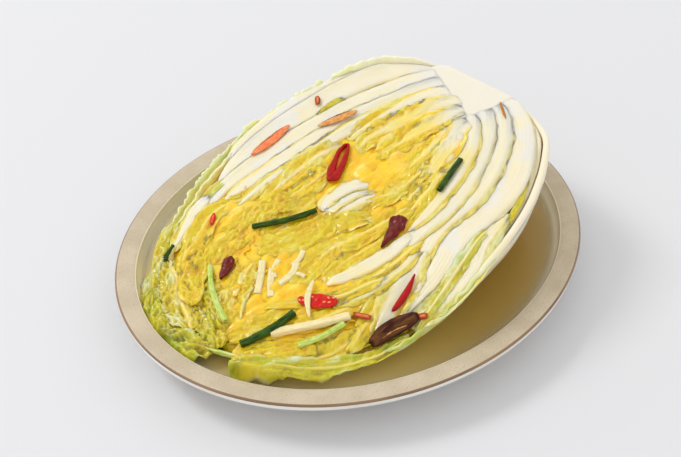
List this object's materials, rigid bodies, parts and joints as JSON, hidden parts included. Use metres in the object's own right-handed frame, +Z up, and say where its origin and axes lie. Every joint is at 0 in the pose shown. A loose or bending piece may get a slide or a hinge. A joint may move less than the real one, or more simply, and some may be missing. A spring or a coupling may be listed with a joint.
{
  "type": "white kimchi on an oval plate",
  "caption": "Half head of salted napa cabbage, cut side up in clear broth on an oval stoneware plate, with scallion, red chilli, jujube and pear strips; a whole side dish as served.",
  "frame": {"origin": "on the table under the plate's centre", "axes": "+Z up, +X along the plate's long axis towards the cabbage's root, +Y towards the cabbage's left side"},
  "size_m": [0.33, 0.28, 0.0913],
  "materials": {
    "stoneware": "satin, speckled",
    "broth": "liquid",
    "leaf_outer": "wet leaf rib",
    "leaf_middle": "wet leaf",
    "leaf_inner": "wet leaf blade",
    "heart": "wet crumpled leaf",
    "core": "wet cut stem",
    "scallion": "wet",
    "scallion_pale": "wet",
    "chilli": "wet",
    "jujube": "wet",
    "pear": "wet",
    "radish": "wet"
  },
  "bodies": {
    "root": {"plate": "stoneware", "broth": "broth", "core": "core", "heart_root": "heart", "heart_middle": "heart", "heart_tip": "heart", "scallion_a": "scallion", "scallion_b": "scallion", "scallion_c": "scallion", "scallion_e": "scallion", "scallion_d": "scallion_pale", "minari": "scallion_pale", "chilli_ring": "chilli", "chilli_dark": "chilli", "chilli_seeded_a": "chilli", "chilli_seeded_b": "chilli", "chilli_sliver": "chilli", "chilli_left": "chilli", "chilli_bit": "chilli", "jujube_slice_a": "jujube", "jujube_slice_b": "jujube", "jujube_slice_c": "jujube", "jujube_bit_a": "jujube", "jujube_bit_b": "jujube", "pear_stick": "pear", "radish_stick_a": "radish", "radish_stick_b": "radish", "radish_stick_c": "radish", "leaf_1_left": "leaf_outer", "leaf_1_right": "leaf_outer", "leaf_2_left": "leaf_outer", "leaf_2_right": "leaf_outer", "leaf_3_left": "leaf_outer", "leaf_3_right": "leaf_outer", "leaf_4_left": "leaf_middle", "leaf_4_right": "leaf_middle", "leaf_5_left": "leaf_middle", "leaf_5_right": "leaf_middle", "leaf_6_left": "leaf_middle", "leaf_6_right": "leaf_middle", "leaf_7_left": "leaf_inner", "leaf_7_right": "leaf_inner", "leaf_8_left": "leaf_inner", "leaf_8_right": "leaf_inner", "leaf_9_left": "leaf_inner", "leaf_9_right": "leaf_inner"}
  },
  "joints": []
}
